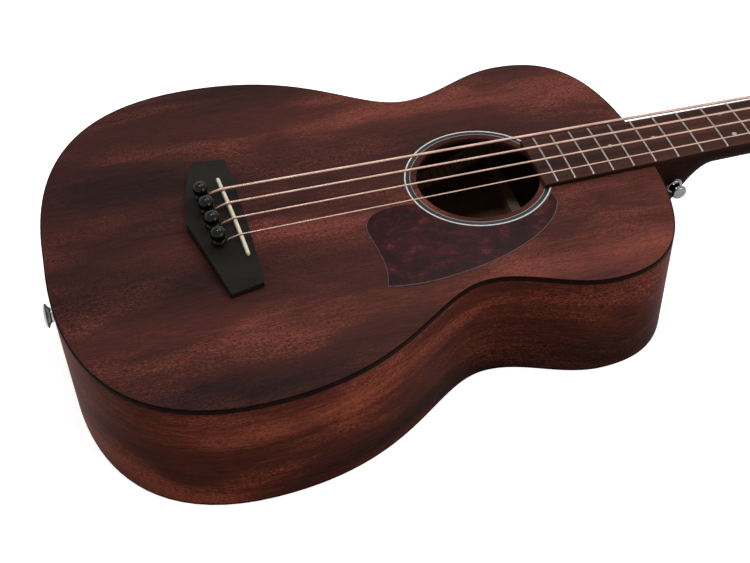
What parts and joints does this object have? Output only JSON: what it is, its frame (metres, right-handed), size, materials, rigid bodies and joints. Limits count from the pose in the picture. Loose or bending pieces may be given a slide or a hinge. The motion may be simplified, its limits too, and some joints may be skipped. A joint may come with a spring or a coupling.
{
  "type": "acoustic bass guitar",
  "caption": "Fretted acoustic bass guitar with a waisted hollow body, round soundhole, pin bridge, curved heel, slim neck and worm-geared open tuners.",
  "frame": {"origin": "on the back's outer face, on the centreline, under the saddle's line of scale", "axes": "+X from the tail to the headstock, +Y to the low-string side, +Z from the back to the soundboard; the instrument lies on its back"},
  "size_m": [1.1522, 0.3784, 0.1326],
  "materials": {
    "top_wood": "satin",
    "side_wood": "satin",
    "neck_wood": "satin",
    "inner_wood": "matte",
    "brace_wood": "matte",
    "binding": "satin",
    "fingerboard_wood": "satin",
    "bridge_wood": "satin",
    "bone": "satin",
    "pin_black": "gloss",
    "ring_inlay": "satin",
    "tortoise": "gloss",
    "bronze": "satin",
    "chrome": "polished",
    "nickel": "satin",
    "steel": "satin",
    "felt": "matte"
  },
  "bodies": {
    "instrument": {"soundboard": "top_wood", "back": "side_wood", "bass_side": "side_wood", "treble_side": "side_wood", "top_binding": "binding", "back_binding": "binding", "top_lining_bass": "inner_wood", "top_lining_treble": "inner_wood", "back_lining_bass": "inner_wood", "back_lining_treble": "inner_wood", "neck_block": "inner_wood", "tail_block": "inner_wood", "x_bracing": "brace_wood", "upper_brace": "brace_wood", "bridge_plate": "brace_wood", "rosette": "ring_inlay", "pickguard": "tortoise", "bridge": "bridge_wood", "saddle": "bone", "bridge_pin_e": "pin_black", "bridge_pin_a": "pin_black", "bridge_pin_d": "pin_black", "bridge_pin_g": "pin_black", "tail_button": "chrome", "tail_button_washer": "felt", "string_e": "bronze", "string_a": "bronze", "string_d": "bronze", "string_g": "bronze", "tuner_plate_e": "nickel", "tuner_bushing_e": "chrome", "tuner_plate_a": "nickel", "tuner_bushing_a": "chrome", "tuner_plate_d": "nickel", "tuner_bushing_d": "chrome", "tuner_plate_g": "nickel", "tuner_bushing_g": "chrome", "neck": "neck_wood", "fretboard": "fingerboard_wood", "nut": "bone", "truss_rod": "steel", "heel_button": "chrome", "heel_button_washer": "felt", "back_brace_1": "brace_wood", "back_brace_2": "brace_wood", "back_brace_3": "brace_wood", "back_brace_4": "brace_wood"},
    "rod_nut": {"truss_rod_nut": "steel"},
    "key_e": {"tuner_key_e": "chrome"},
    "post_e": {"tuner_post_e": "chrome", "string_winding_e": "bronze"},
    "key_a": {"tuner_key_a": "chrome"},
    "post_a": {"tuner_post_a": "chrome", "string_winding_a": "bronze"},
    "key_d": {"tuner_key_d": "chrome"},
    "post_d": {"tuner_post_d": "chrome", "string_winding_d": "bronze"},
    "key_g": {"tuner_key_g": "chrome"},
    "post_g": {"tuner_post_g": "chrome", "string_winding_g": "bronze"}
  },
  "joints": [
    {"name": "key_e_turn", "type": "hinge", "parent": "instrument", "child": "key_e", "pos_m": [0.85748, 0.023, 0.05425], "axis": [0, 1, 0], "continuous": true},
    {"name": "post_e_turn", "type": "hinge", "parent": "instrument", "child": "post_e", "pos_m": [0.87755, 0.023, 0.07048], "axis": [0.2513, 0, 0.9679], "continuous": true, "deforming": ["string_e"]},
    {"name": "key_a_turn", "type": "hinge", "parent": "instrument", "child": "key_a", "pos_m": [0.9291, 0.023, 0.03566], "axis": [0, 1, 0], "continuous": true},
    {"name": "post_a_turn", "type": "hinge", "parent": "instrument", "child": "post_a", "pos_m": [0.94917, 0.023, 0.05188], "axis": [0.2513, 0, 0.9679], "continuous": true, "deforming": ["string_a"]},
    {"name": "key_d_turn", "type": "hinge", "parent": "instrument", "child": "key_d", "pos_m": [0.9291, -0.023, 0.03566], "axis": [0, -1, 0], "continuous": true},
    {"name": "post_d_turn", "type": "hinge", "parent": "instrument", "child": "post_d", "pos_m": [0.94917, -0.023, 0.05188], "axis": [0.2513, 0, 0.9679], "continuous": true, "deforming": ["string_d"]},
    {"name": "key_g_turn", "type": "hinge", "parent": "instrument", "child": "key_g", "pos_m": [0.85748, -0.023, 0.05425], "axis": [0, -1, 0], "continuous": true},
    {"name": "post_g_turn", "type": "hinge", "parent": "instrument", "child": "post_g", "pos_m": [0.87755, -0.023, 0.07048], "axis": [0.2513, 0, 0.9679], "continuous": true, "deforming": ["string_g"]},
    {"name": "rod_nut_turn", "type": "hinge", "parent": "instrument", "child": "rod_nut", "pos_m": [0.27693, 0, 0.09153], "axis": [0.9996, 0, -0.0271], "range_deg": [-180, 180]}
  ],
  "couplings": [
    {"joint": "post_e_turn", "follows": "key_e_turn", "ratio": 0.055556},
    {"joint": "post_a_turn", "follows": "key_a_turn", "ratio": 0.055556},
    {"joint": "post_d_turn", "follows": "key_d_turn", "ratio": 0.055556},
    {"joint": "post_g_turn", "follows": "key_g_turn", "ratio": 0.055556}
  ]
}
